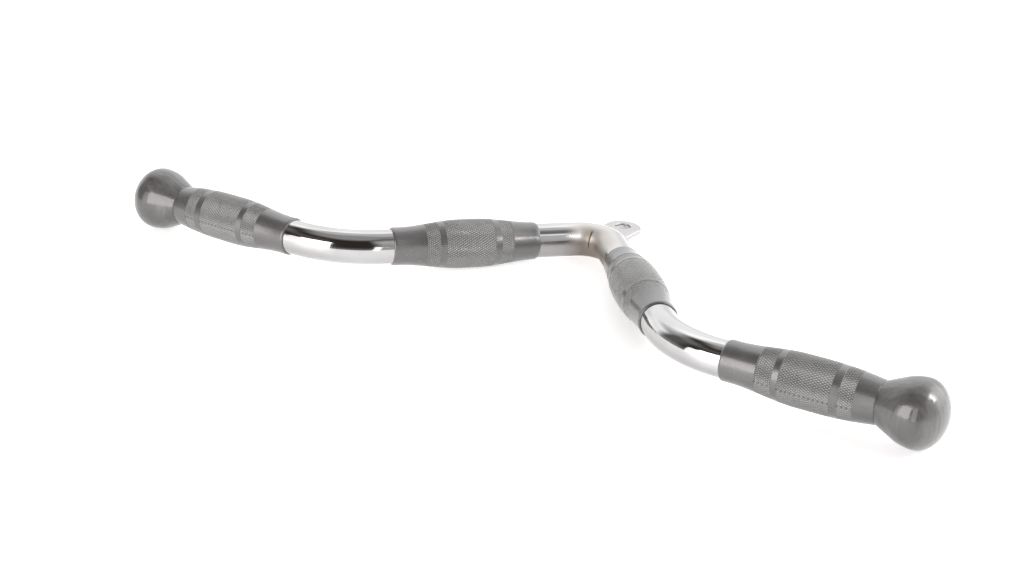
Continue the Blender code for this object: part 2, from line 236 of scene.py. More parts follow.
def bar_plane():
    """The place of the bar's own plane in the frame. The lug's two mounts give it: their shared
    axis is the plane's normal, and the point halfway between them lies on the plane's Y axis."""
    upper, lower = frame["record"]["mounts"]
    normal = Vector(upper["axis"])
    middle = (Vector(upper["pos_m"]) + Vector(lower["pos_m"])) / 2
    place = Matrix.Rotation(-atan2(normal.y, normal.z), 4, "X")
    place.translation = middle - place.to_3x3() @ Vector((0, MOUNT_REACH, 0))
    return place


def arm_frame(side, angle, start):
    """The place of a turned piece on an arm, as a 4 by 4 matrix: its local +Z runs outwards along
    the arm from the start point, and its local +X stands up out of the bar's plane."""
    along = Vector((side * cos(angle), -sin(angle), 0))
    up = Vector((0, 0, 1))
    place = Matrix((up, along.cross(up), along)).transposed().to_4x4()
    place.translation = start
    return place


def inner_arm_point(side, distance):
    """A point on the inner arm's line, a distance from the apex corner."""
    return Vector((side * cos(ARM_ANGLE), -sin(ARM_ANGLE), 0)) * distance


def outer_arm_point(side, distance):
    """A point on the outer arm's line, a distance from the outer bend's corner."""
    along = Vector((side * cos(OUTER_ARM_RISE), sin(OUTER_ARM_RISE), 0))
    return inner_arm_point(side, bend_corner) + along * distance


def carried(points, place):
    """An array of points, each turned and shifted by a 4 by 4 matrix."""
    place = np.array(place)
    return points @ place[:3, :3].T + place[:3, 3]


def smooth_step(x):
    """3x^2 - 2x^3 between 0 and 1: rises with no slope at either end."""
    t = np.clip(x, 0, 1)
    return t * t * (3 - 2 * t)


def add_piece(name, grid, straight, finish, replaced, ring_rows=False, rise=None, knurled=None):
    """One closed surface from a grid of points, rows by columns by xyz, in the bar's plane. The
    columns close on themselves, and so do the rows of a ring. The first and last row of any other
    piece lie in one point each, which closes them. straight holds each point's place on the piece
    as if its axis were straight, for patterns that run along or round it. rise, where given, is
    the knurl's height, 0 to 1: each cell is split along the diagonal whose two ends are lower, so
    that a groove follows the cells' corners. knurled is 1 on the knurled bands and 0 beside them.
    The mesh is then carried into the frame."""
    rows, columns = grid.shape[:2]
    row = np.arange(rows if ring_rows else rows - 1)[:, None]
    column = np.arange(columns)[None, :]
    next_row = (row + 1) % rows * columns
    next_column = (column + 1) % columns
    row = row * columns
    cells = np.stack([row + column, row + next_column, next_row + next_column, next_row + column], -1)
    cells = cells.reshape(-1, 4)
    if rise is not None:
        height = rise.ravel()[cells]
        first = height[:, 0] + height[:, 2] <= height[:, 1] + height[:, 3]
        halves = np.where(first[:, None], cells[:, [0, 1, 2, 0, 2, 3]], cells[:, [0, 1, 3, 1, 2, 3]])
        cells = halves.reshape(-1, 3)
    points = carried(grid.reshape(-1, 3), plane)
    a, b, c = (points[cells[:, i]] for i in (0, 1, 2))
    # Six times the volume inside, which is negative where the cells face inwards
    volume = np.einsum("ij,ij->", a, np.cross(b, c))
    if cells.shape[1] == 4:
        d = points[cells[:, 3]]
        volume += np.einsum("ij,ij->", a, np.cross(c, d))
    if volume < 0:
        cells = cells[:, ::-1]
    mesh = bpy.data.meshes.new(name)
    mesh.from_pydata(points.tolist(), [], cells.tolist())
    place = mesh.attributes.new("straight", "FLOAT_VECTOR", "POINT")
    place.data.foreach_set("vector", straight.astype(np.float32).ravel())
    if rise is not None:
        for title, values in (("rise", rise), ("knurled", knurled)):
            attribute = mesh.attributes.new(title, "FLOAT", "POINT")
            attribute.data.foreach_set("value", values.astype(np.float32).ravel())
    build = bmesh.new()
    build.from_mesh(mesh)
    bmesh.ops.remove_doubles(build, verts=build.verts, dist=0.001 * MILLIMETRE)
    build.to_mesh(mesh)
    build.free()
    mesh.shade_smooth()
    mesh.set_sharp_from_angle(angle=SHARP_TURN)
    mesh.materials.append(finish)
    piece = bpy.data.objects.new(name, mesh)
    bpy.context.scene.collection.objects.link(piece)
    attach(piece, "root")
    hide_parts(*replaced)


def turned(radius, height, place):
    """A turned surface. Each row has a height, and each of its columns a radius:
    point = (radius cos turn, radius sin turn, height) about the local Z axis. Gives the grid in the
    bar's plane and the same points in the piece's own axes."""
    turn = np.linspace(0, 2 * pi, radius.shape[1], endpoint=False)
    straight = np.stack(np.broadcast_arrays(radius * np.cos(turn), radius * np.sin(turn), height), -1)
    return carried(straight, place), straight


def ellipse_arc(centre, size, start, steps, turn=1):
    """Points of an ellipse about a centre (radius, height), from a start angle and through a turn,
    both in quarter turns: centre + size (cos angle, sin angle)."""
    angle = (start + turn * np.linspace(0, 1, steps + 1)) * pi / 2
    return np.stack([centre[0] + size[0] * np.cos(angle), centre[1] + size[1] * np.sin(angle)], -1)


def centreline():
    """The bar's centreline from its left end to its right one, as arrays of points, headings and
    distances: an arc about the apex, a straight arm, an arc of the outer bend and a straight arm,
    and the same mirrored. A heading is the angle by which the line runs below +X."""
    turn = np.linspace(0, ARM_ANGLE, round(ARM_ANGLE / BEND_STEP) + 1)
    arc = np.stack([np.sin(turn), np.cos(turn), np.zeros_like(turn)], -1)
    apex = arc * APEX_BEND_RADIUS + (0, apex_bend_y, 0)
    bend = np.linspace(ARM_ANGLE, -OUTER_ARM_RISE, round(outer_turn / BEND_STEP) + 1)
    start = inner_arm_point(1, bend_corner - bend_tangent)
    centre = start + OUTER_BEND_RADIUS * Vector((sin(ARM_ANGLE), cos(ARM_ANGLE), 0))
    arc = np.stack([np.sin(bend), np.cos(bend), np.zeros_like(bend)], -1)
    outer = np.array(centre) - arc * OUTER_BEND_RADIUS
    end = np.array([outer_arm_point(1, bar_end)])
    points = np.concatenate([apex, outer, end])
    heading = np.concatenate([turn, bend, [-OUTER_ARM_RISE]])
    steps = np.linalg.norm(np.diff(points, axis=0), axis=1)
    distance = np.concatenate([[0], np.cumsum(steps)])
    mirrored = points[:0:-1] * (-1, 1, 1)
    return (np.concatenate([mirrored, points]), np.concatenate([-heading[:0:-1], heading]),
            np.concatenate([-distance[:0:-1], distance]))


def make_bar(finish):
    """The bent bar: a circle carried along the centreline without twist,
    point = line + radius (cos turn up + sin turn across). At both ends the radius steps in over a
    chamfer, to the stud's hole, and down it to a point on the line. Inside the apex bend the radius
    dips by a fine crease, where the steel folded on itself: depth exp(-(u / width)^2), where
    u = distance + lean * height - shift, fading above and below."""
    points, heading, distance = centreline()
    hole = STUD_DIAMETER / 2 + BORE_CLEARANCE
    depth = STUD_INTO_BAR + SEAT_GAP
    end = np.array([(-BAR_END_CHAMFER, bar_radius), (0, bar_radius - BAR_END_CHAMFER), (0, hole),
                    (-depth, hole), (-depth, 0)])
    shift = np.concatenate([-end[::-1, 0], np.zeros(len(points) - 2), end[:, 0]])
    radius = np.concatenate([end[::-1, 1], np.full(len(points) - 2, bar_radius), end[:, 1]])
    spread = np.concatenate([np.zeros(len(end), int), np.arange(1, len(points) - 1),
                             np.full(len(end), len(points) - 1)])
    points, heading, distance = points[spread], heading[spread], distance[spread] + shift
    along = np.stack([np.cos(heading), -np.sin(heading), np.zeros_like(heading)], -1)
    across = np.stack([np.sin(heading), np.cos(heading), np.zeros_like(heading)], -1)
    line = points + along * shift[:, None]
    turn = np.linspace(0, 2 * pi, BAR_COLUMNS, endpoint=False)
    inside = smooth_step(np.interp(-np.sin(turn), CREASE_RISE, (0, 1)))
    from_crease = distance[:, None] + CREASE_LEAN * bar_radius * np.cos(turn) - CREASE_SHIFT
    crease = CREASE_DEPTH * np.exp(-(from_crease / CREASE_WIDTH) ** 2) * inside
    radius = radius[:, None] - crease
    up_part = radius * np.cos(turn)
    across_part = radius * np.sin(turn)
    grid = line[:, None] + across[:, None] * across_part[..., None]
    grid[..., 2] += up_part
    straight = np.stack(np.broadcast_arrays(up_part, across_part, distance[:, None]), -1)
    add_piece("chromed_bar", grid, straight, finish, ["bent_bar"])


def barrel_radius(distance, length, widest, far_radius, falls_to_neck):
    """A grip's radius at distances from its end beside the outer bend: a straight start, a
    smooth_step up to the crown over the wide knurl, and a fall to the far end, by smooth_step on
    an inner grip and by the square of the share fallen on an outer one."""
    rise_end = CROWN_MIDDLE - CROWN_LENGTH / 2
    fall_start = CROWN_MIDDLE + CROWN_LENGTH / 2
    near_radius = GRIP_END_DIAMETER / 2
    risen = smooth_step((distance - SWELL_START) / (rise_end - SWELL_START))
    fallen = np.clip((distance - fall_start) / (length - fall_start), 0, 1)
    fallen = fallen ** 2 if falls_to_neck else smooth_step(fallen)
    rising = near_radius + (widest - near_radius) * risen
    falling = widest - (widest - far_radius) * fallen
    return np.where(distance < CROWN_MIDDLE, rising, falling)


def barrel_stations(band_starts, length, start, stop):
    """Distances of a barrel's rows between start and stop, and how many of the knurl's cells each
    one lies into its band, or -1 on a plain band. A knurled band holds a whole number of cells and
    drops to them over a short wall at each end."""
    bands = (*band_starts, length)
    distance = []
    phase = []
    for number, (low, high) in enumerate(zip(bands[:-1], bands[1:])):
        if number % 2:
            cells = round((high - low) / DIAMOND_LENGTH * CELLS_PER_DIAMOND)
            inside = np.linspace(low, high, cells + 1)
            inside[0] += KNURL_EDGE_WALL
            inside[-1] -= KNURL_EDGE_WALL
            phase.append(np.arange(cells + 1))
        else:
            low = max(low, start)
            high = min(high, stop)
            inside = np.linspace(low, high, round((high - low) / PLAIN_ROW) + 1)
            phase.append(np.full(len(inside), -1))
        distance.append(inside)
    return np.concatenate(distance), np.concatenate(phase)


def knurl_height(phase):
    """The height of the knurl over its grooves, 0 to 1, for every row and column. Two families of
    grooves cross it at the cells whose column plus row, or column less row, is a whole diamond, and
    the ground rises straight from each: height = min(rise(column + row), rise(column - row)), cut
    off flat at the top. A plain band is 1 all over."""
    column = np.arange(DIAMONDS_ROUND * CELLS_PER_DIAMOND)
    row = phase[:, None]
    rises = []
    for family in (column + row, column - row):
        share = family % CELLS_PER_DIAMOND / CELLS_PER_DIAMOND
        rises.append(np.clip((1 - np.abs(2 * share - 1)) * KNURL_TOP_CUT, 0, 1))
    return np.where(row < 0, 1.0, np.minimum(*rises))


def columns_from_parting(clock):
    """How many columns each column lies from the nearer of the two lines where the mould's halves
    met."""
    columns = DIAMONDS_ROUND * CELLS_PER_DIAMOND
    turned_by = (np.arange(columns) - round(clock / (2 * pi) * columns)) % (columns // 2)
    return np.minimum(turned_by, columns // 2 - turned_by)


def make_grip(name, place, outer, clock, finish):
    """One grip, a closed ring of rows: the rounded edge beside the outer bend, the barrel with its
    knurled bands, the far end and the bore. A row is a circle whose radius follows barrel_radius,
    less the knurl's depth in its grooves, and the bore narrows at both mouths to hug the bar. Where
    the mould's halves met, a fine ridge runs along the plain bands, and on the knurled ones each
    diamond is torn part of the way down to its groove."""
    length = OUTER_GRIP_LENGTH if outer else INNER_GRIP_LENGTH
    widest = (OUTER_GRIP_DIAMETER if outer else INNER_GRIP_DIAMETER) / 2
    far_radius = (NECK_DIAMETER if outer else GRIP_END_DIAMETER) / 2
    near_radius = GRIP_END_DIAMETER / 2
    far_round = NECK_EDGE_ROUND if outer else ROUNDED_END_LENGTH
    bands = OUTER_BAND_STARTS if outer else INNER_BAND_STARTS
    distance, phase = barrel_stations(bands, length, GRIP_EDGE_LENGTH, length - far_round)
    plain = phase[:, None] < 0
    away = columns_from_parting(clock)
    torn = (away < TORN_COLUMNS) & (phase[:, None] % CELLS_PER_DIAMOND < TORN_COLUMNS)
    height = np.where(torn & ~plain, 0, knurl_height(phase))
    radius = barrel_radius(distance, length, widest, far_radius, outer)[:, None]
    ridge = np.clip(1 - away / RIDGE_COLUMNS, 0, 1) * plain
    radius = radius - KNURL_DEPTH * (1 - height) + PARTING_RIDGE_HEIGHT * ridge
    mouth = bar_radius + MOUTH_GAP
    near_edge = ellipse_arc((near_radius - GRIP_EDGE_ROUND, GRIP_EDGE_LENGTH),
                            (GRIP_EDGE_ROUND, GRIP_EDGE_LENGTH), -1, steps=8)[:-1]
    if outer:
        far_edge = ellipse_arc((far_radius - far_round, length - far_round), (far_round, far_round),
                               0, steps=4)[1:]
    else:
        far_edge = ellipse_arc((mouth, length - far_round), (far_radius - mouth, far_round),
                               0, steps=10)[1:-1]
    bore = np.array([(mouth, length), (bore_radius, length - MOUTH_LENGTH),
                     (bore_radius, MOUTH_LENGTH), (mouth, 0)])
    after = np.concatenate([far_edge, bore])
    columns = height.shape[1]
    radius = np.concatenate([np.repeat(near_edge[:, :1], columns, 1), radius,
                             np.repeat(after[:, :1], columns, 1)])
    along = np.concatenate([near_edge[:, 1], distance, after[:, 1]])[:, None]
    end_rows = ((len(near_edge), len(after)), (0, 0))
    rise = np.pad(height, end_rows, constant_values=1)
    knurled = np.pad(np.broadcast_to(1 - plain, height.shape), end_rows)
    grid, straight = turned(radius, along, place)
    add_piece(name, grid, straight, finish, [name.replace("rubber_", "")], True, rise,
              knurled)


def make_knob(side_name, place, finish):
    """One end knob, turned: two part ellipses for the ball, a cone tangent to the back one down to
    the rounded neck edge, the bar's socket and the insert's pocket. Its first and last row lie on
    the axis."""
    ball = BALL_DIAMETER / 2
    neck_radius = NECK_DIAMETER / 2
    neck_depth = (NECK_TO_BALL_CENTRE - SEAT_GAP) * ball / BALL_BACK_LENGTH
    tangent = atan2(neck_depth, neck_radius) - acos(ball / hypot(neck_depth, neck_radius))
    centre = (0, NECK_TO_BALL_CENTRE)
    front = ellipse_arc(centre, (ball, BALL_FRONT_LENGTH), 1, steps=40, turn=-1)
    back = ellipse_arc(centre, (ball, BALL_BACK_LENGTH), 0, steps=12, turn=-tangent / (pi / 2))[1:]
    foot = (neck_radius, NECK_SEAM)
    cone = back[-1] + (np.array(foot) - back[-1]) * np.linspace(0, CONE_SHARE, 12)[1:, None]
    edge = ellipse_arc((neck_radius - NECK_EDGE_ROUND, NECK_SEAM + NECK_EDGE_ROUND),
                       (NECK_EDGE_ROUND, NECK_EDGE_ROUND), 0, steps=4, turn=-1)
    socket_floor = BAR_INTO_KNOB + SEAT_GAP
    pocket_radius = INSERT_DIAMETER / 2 + BORE_CLEARANCE
    pocket_floor = socket_floor + INSERT_LENGTH + SEAT_GAP
    inside = np.array([(bore_radius, NECK_SEAM), (bore_radius, socket_floor),
                       (pocket_radius, socket_floor), (pocket_radius, pocket_floor), (0, pocket_floor)])
    profile = np.concatenate([front, back, cone, edge, inside])
    radius = np.repeat(profile[:, :1], KNOB_COLUMNS, 1)
    grid, straight = turned(radius, profile[:, 1:], place)
    add_piece(f"{side_name}_ball_knob", grid, straight, finish,
              [f"{side_name}_end_knob"])


def plan_arc(centre, radius, start, stop, steps, outwards=1):
    """Points round an arc in the bar's plane, from one angle to another, and the directions away
    from its centre, or towards it where outwards is -1."""
    angle = np.linspace(start, stop, steps + 1)
    spoke = np.stack([np.cos(angle), np.sin(angle)], -1)
    return centre + radius * spoke, outwards * spoke


def make_lug(finish):
    """The eye lug, a closed ring of rows round both ways. Columns run anticlockwise round the plan,
    each joining a point of the outline to one of the eye by way of a loop between them, which
    follows the outline closely where its toes flare. Rows run up the eye's wall, over its rounded
    edge, across the upper face, down the outline's rounded edge and wall and back below:
    point = eye + away (cos, sin), or outline - inset outward, at the row's height."""
    saddle, saddle_out = plan_arc((0, apex_bend_y), seat_radius - LUG_SINK, pi - root_angle,
                                  root_angle, steps=40)
    right, right_out = plan_arc((fillet_x, fillet_y), ROOT_FILLET_RADIUS, pi + root_angle, pi,
                                steps=16, outwards=-1)
    end, end_out = plan_arc((0, eye_y), LUG_WIDTH / 2, 0, pi, steps=64)
    left, left_out = plan_arc((-fillet_x, fillet_y), ROOT_FILLET_RADIUS, 0, -root_angle,
                              steps=16, outwards=-1)
    share = np.linspace(0, 1, 26)[1:-1, None]
    right_side = right[-1] + (end[0] - right[-1]) * share
    left_side = end[-1] + (left[0] - end[-1]) * share
    outline = np.concatenate([end, left_side, left, saddle, right, right_side])
    outward = np.concatenate([end_out, left_side * 0 + (-1, 0), left_out, saddle_out * 0, right_out,
                              right_side * 0 + (1, 0)])
    lower = len(left) + len(saddle) + len(right)
    stations = np.array([0, len(left), lower - len(right), lower - 1])
    widths = np.array([-1, -WAIST_CORNER, WAIST_CORNER, 1]) * WAIST_X
    across = np.interp(np.arange(lower), stations, widths)
    down = np.interp(np.arange(lower), stations, (fillet_y, WAIST_Y, WAIST_Y, fillet_y))
    narrower = (WAIST_X * 2 / LUG_WIDTH, 1)
    waist = np.concatenate([(0, eye_y) + end_out * WAIST_X, left_side * narrower,
                            np.stack([across, down], -1), right_side * narrower])
    angle = pi / 2 + 2 * pi / len(outline) * (np.arange(len(outline)) - (len(end) - 1) / 2)
    spoke = np.stack([np.cos(angle), np.sin(angle)], -1)
    half = LUG_THICKNESS / 2
    corner = np.linspace(0, pi / 2, 6)
    away = np.append(LUG_EDGE_ROUND * (1 - np.cos(corner)), FACE_START * LUG_EDGE_ROUND)
    away_height = np.append(half - LUG_EDGE_ROUND * (1 - np.sin(corner)), half)
    inset = np.append(FACE_START * LUG_RIM_ROUND, LUG_RIM_ROUND * (1 - np.sin(corner)))
    inset_height = np.append(half, half - LUG_RIM_ROUND * (1 - np.cos(corner)))
    eye_rows = (0, eye_y) + spoke * (EYE_DIAMETER / 2 + away[:, None, None])
    edge_rows = outline - outward * inset[:, None, None]
    plan = np.concatenate([eye_rows, waist[None], edge_rows])
    height = np.concatenate([away_height, [half], inset_height])
    plan = np.concatenate([plan, plan[::-1]])
    height = np.concatenate([height, -height[::-1]])
    grid = np.concatenate([plan, np.broadcast_to(height[:, None, None], plan.shape[:2] + (1,))], -1)
    add_piece("chromed_eye_lug", grid, grid.reshape(-1, 3), finish, ["eye_lug"], True)


def make_weld(finish):
    """The ground weld, one closed ring round the lug's root. Columns follow a rounded rectangle,
    the lug's footprint on the apex bend. Rows cross the weld: a hollow quarter circle from the bar
    to the lug, offset = size (1 - sin turn) beside the footprint and rise = size (1 - cos turn)
    above the bar, and then a short way back inside both. The size falls towards the lug's toes."""
    half_length = seat_radius * (pi / 2 - root_angle) - LUG_EDGE_ROUND
    half_height = LUG_THICKNESS / 2 - LUG_EDGE_ROUND
    corners = np.array([(1, -1), (1, 1), (-1, 1), (-1, -1), (1, -1)]) * (half_length, half_height)
    swing = np.linspace(0, pi / 2, 9)[1:-1]
    core = []
    facing = []
    for number, (start, stop) in enumerate(zip(corners[:-1], corners[1:])):
        columns = WELD_SIDE_COLUMNS if number % 2 else WELD_END_COLUMNS
        core += [np.linspace(start, stop, columns), np.tile(stop, (len(swing), 1))]
        facing += [np.full(columns, number * pi / 2), number * pi / 2 + swing]
    core = np.concatenate(core)
    facing = np.concatenate(facing)
    from_toe = half_length - np.abs(core[:, 0])
    size = ROOT_LAND + (WELD_FILLET_RADIUS - ROOT_LAND) * smooth_step(from_toe / WELD_TAPER)
    turn = np.linspace(0, pi / 2, 15)[:, None]
    bite = np.full((1, len(size)), -WELD_BITE)
    offset = np.concatenate([size * (1 - np.sin(turn)), bite, bite, size[None]])
    rise = np.concatenate([size * (1 - np.cos(turn)), size[None], bite, bite])
    reach = LUG_EDGE_ROUND + offset
    along = core[:, 0] + reach * np.cos(facing)
    height = core[:, 1] + reach * np.sin(facing)
    angle = along / seat_radius
    radius = APEX_BEND_RADIUS + np.sqrt(bar_radius ** 2 - height ** 2) + rise
    grid = np.stack([radius * np.sin(angle), apex_bend_y + radius * np.cos(angle), height], -1)
    add_piece("ground_weld", grid, grid.reshape(-1, 3), finish,
              ["upper_weld_bead", "lower_weld_bead"], True)


def srgb(code):
    """A hex colour turned to linear red, green, blue and alpha."""
    value = np.array([int(code[i:i + 2], 16) for i in (1, 3, 5)]) / 255
    linear = np.where(value <= 0.04045, value / 12.92, ((value + 0.055) / 1.055) ** 2.4)
    return (*linear.tolist(), 1.0)


def node(tree, kind, inputs=(), **settings):
    """Adds a node, sets its own settings, and sets or links each (socket, value) of its inputs. A
    colour Mix's sockets go by number: 0 is the second colour's share, and 6 and 7 the colours."""
    made = tree.nodes.new(kind)
    for key, value in settings.items():
        setattr(made, key, value)
    for socket, value in inputs:
        if isinstance(value, bpy.types.NodeSocket):
            tree.links.new(value, made.inputs[socket])
        else:
            made.inputs[socket].default_value = value
    return made


def new_material(name, follows_shape=True):
    """An empty node material: the material, its tree, and the place that its patterns follow. That
    is the piece's own attribute straight, or its Object coordinates where it has none."""
    made = bpy.data.materials.new(name)
    made.use_nodes = True
    tree = made.node_tree
    tree.nodes.clear()
    if follows_shape:
        place = node(tree, "ShaderNodeAttribute", attribute_name="straight").outputs["Vector"]
    else:
        place = node(tree, "ShaderNodeTexCoord").outputs["Object"]
    return made, tree, place


def finish_material(tree, skin, values):
    """Adds the Principled shader, wired to the output. skin gives the patterns that stand up from
    the surface, each with its height in millimetres and on top of the last. values sets what is the
    same all over the surface on the shader's own sockets, and links the other patterns."""
    normal = ()
    for pattern, height in skin:
        bump = node(tree, "ShaderNodeBump", [
            ("Strength", 1.0), ("Distance", height * MILLIMETRE), ("Height", pattern), *normal])
        normal = (("Normal", bump.outputs[0]),)
    if "Coat Weight" in dict(values):
        normal += (("Coat Normal", bump.outputs[0]),)
    shader = node(tree, "ShaderNodeBsdfPrincipled", [*values, *normal])
    node(tree, "ShaderNodeOutputMaterial", [("Surface", shader.outputs["BSDF"])])


def wavelength(millimetres):
    """The scale of a pattern on coordinates in metres whose features are this far apart."""
    return 1 / (millimetres * MILLIMETRE)


def bright_chrome_plate():
    """Bright chromium plate on polished steel. Plating gives a cold mirror that is slightly wavy where
    the steel was bent and buffed. Drawing the bar leaves fine lines along it, and handling leaves dull
    patches. The wheel can't reach inside the tight apex bend, which stays satin. Below it the colour
    holds painted shade, a painted reflection of the shaded floor under the bar: a dull grey, brownish
    nearest the apex. The plate about the crease is burnt: dark in the crease, which leans aside near
    the top, and golden beside its upper part. The lines are 0.2 mm apart on the real bar and are drawn
    1.1 mm apart, so that they show at all."""
    made, tree, place = new_material("bright_chrome_plate")
    part = node(tree, "ShaderNodeSeparateXYZ", [(0, place)]).outputs
    up = part["X"]
    out = part["Y"]
    shifted = node(tree, "ShaderNodeMath", [(0, part["Z"]), (1, DULL_PLATE_SHIFT)],
                   operation="SUBTRACT")
    tilted = node(tree, "ShaderNodeMath", [(0, up), (1, -0.15), (2, out)],
                  operation="MULTIPLY_ADD").outputs[0]
    leaned = node(tree, "ShaderNodeMath", [(0, up), (1, CREASE_LEAN), (2, part["Z"])],
                  operation="MULTIPLY_ADD").outputs[0]
    centred = node(tree, "ShaderNodeMath", [(0, leaned), (1, CREASE_SHIFT)], operation="SUBTRACT")
    aside = node(tree, "ShaderNodeMapRange", [
        ("Value", up), ("From Min", 0.0015), ("From Max", 0.01), ("To Max", 0.0024)]).outputs[0]
    forked = node(tree, "ShaderNodeMath", [(0, centred.outputs[0]), (1, aside)], operation="SUBTRACT")
    from_apex, from_crease, from_core = (
        node(tree, "ShaderNodeMath", [(0, signed.outputs[0])], operation="ABSOLUTE").outputs[0]
        for signed in (shifted, centred, forked))
    # A mask is a product of edges: what each follows, where it is 0 and 1, and how it rises between
    soft = "SMOOTHSTEP"
    even = "LINEAR"
    masks = []
    for edges in (
            [(from_apex, 0.050, 0.026, soft)],
            [(from_apex, 0.050, 0.026, soft), (out, 0.004, -0.006, soft)],
            [(up, 0.0065, 0.001, soft), (out, 0.006, -0.002, soft), (from_apex, 0.084, 0.070, even)],
            [(tilted, -0.009, -0.0125, soft), (up, 0.001, 0.0055, even),
             (from_crease, 0.0045, 0.002, soft)],
            [(tilted, -0.009, -0.0125, soft), (up, -0.004, 0.0005, even),
             (from_core, 0.0018, 0.0006, soft)]):
        share = 1.0
        for value, none, full, rising in edges:
            share = node(tree, "ShaderNodeMapRange", [
                ("Value", value), ("From Min", none), ("From Max", full), ("To Max", share)],
                interpolation_type=rising).outputs[0]
        masks.append(share)
    # The third mask, the bar's lower side inside the apex bend, carries painted shade: a painted
    # reflection of the shaded floor under the bar
    near, inner, painted_shade_beneath, burnt, dark = masks
    broad = node(tree, "ShaderNodeTexNoise", [
        ("Vector", place), ("Scale", wavelength(34)), ("Detail", 4.0), ("Roughness", 0.6)])
    cloud = node(tree, "ShaderNodeMapRange", [
        ("Value", broad.outputs[0]), ("From Min", 0.38), ("From Max", 0.66)]).outputs[0]
    # Painted shade: the reflected floor shadow, grey, and brownish nearest the apex
    painted_floor_shade = node(tree, "ShaderNodeMix", [
        (0, near), (6, srgb("#A3A1A1")), (7, srgb("#938B84"))], data_type="RGBA").outputs[2]
    tint = srgb("#BDBDBE")
    for share, colour in ((cloud, srgb("#B3B2B2")), (inner, srgb("#CBC8C4")), (painted_shade_beneath, painted_floor_shade),
                          (burnt, srgb("#D2C4B0")), (dark, srgb("#5F5044"))):
        tint = node(tree, "ShaderNodeMix", [(0, share), (6, tint), (7, colour)],
                    data_type="RGBA").outputs[2]
    squeezed = node(tree, "ShaderNodeMapping", [
        ("Vector", place), ("Scale", (wavelength(1.1), wavelength(1.1), wavelength(55)))])
    lines = node(tree, "ShaderNodeTexNoise", [
        ("Vector", squeezed.outputs[0]), ("Scale", 1.0), ("Detail", 2.0)]).outputs[0]
    rough = node(tree, "ShaderNodeMapRange", [
        ("Value", cloud), ("To Min", 0.035), ("To Max", 0.085)]).outputs[0]
    for share, added in ((lines, 0.05), (inner, 0.45), (painted_shade_beneath, 0.15)):
        rough = node(tree, "ShaderNodeMath", [(0, share), (1, added), (2, rough)],
                     operation="MULTIPLY_ADD").outputs[0]
    waves = node(tree, "ShaderNodeTexNoise", [
        ("Vector", place), ("Scale", wavelength(11)), ("Detail", 1.0)]).outputs[0]
    finish_material(tree, [(waves, 0.06), (lines, 0.009)], [
        ("Metallic", 1.0), ("Base Color", tint), ("Roughness", rough)])
    return made


def ground_chrome_plate():
    """Chromium plate on the lug and its weld, which were ground by hand before plating. The
    grinding shows through as a softer mirror with short scratches one way and another."""
    made, tree, place = new_material("ground_chrome_plate")
    cloud = node(tree, "ShaderNodeTexNoise", [
        ("Vector", place), ("Scale", wavelength(9)), ("Detail", 4.0), ("Roughness", 0.6)]).outputs[0]
    tint = node(tree, "ShaderNodeMix", [
        (0, cloud), (6, srgb("#BDBDBE")), (7, srgb("#B1B0AF"))], data_type="RGBA").outputs[2]
    turned_place = node(tree, "ShaderNodeMapping", [
        ("Vector", place), ("Rotation", (0.0, 0.0, 0.6)),
        ("Scale", (wavelength(0.5), wavelength(8), wavelength(8)))]).outputs[0]
    scratches = node(tree, "ShaderNodeTexNoise", [
        ("Vector", turned_place), ("Scale", 1.0), ("Detail", 3.0), ("Distortion", 0.8)]).outputs[0]
    base = node(tree, "ShaderNodeMapRange", [
        ("Value", cloud), ("From Min", 0.35), ("From Max", 0.65), ("To Min", 0.10), ("To Max", 0.2)])
    rough = node(tree, "ShaderNodeMath", [(0, scratches), (1, 0.1), (2, base.outputs[0])],
                 operation="MULTIPLY_ADD").outputs[0]
    waves = node(tree, "ShaderNodeTexNoise", [
        ("Vector", place), ("Scale", wavelength(6)), ("Detail", 1.0)]).outputs[0]
    finish_material(tree, [(waves, 0.05), (scratches, 0.004)], [
        ("Metallic", 1.0), ("Base Color", tint), ("Roughness", rough)])
    return made


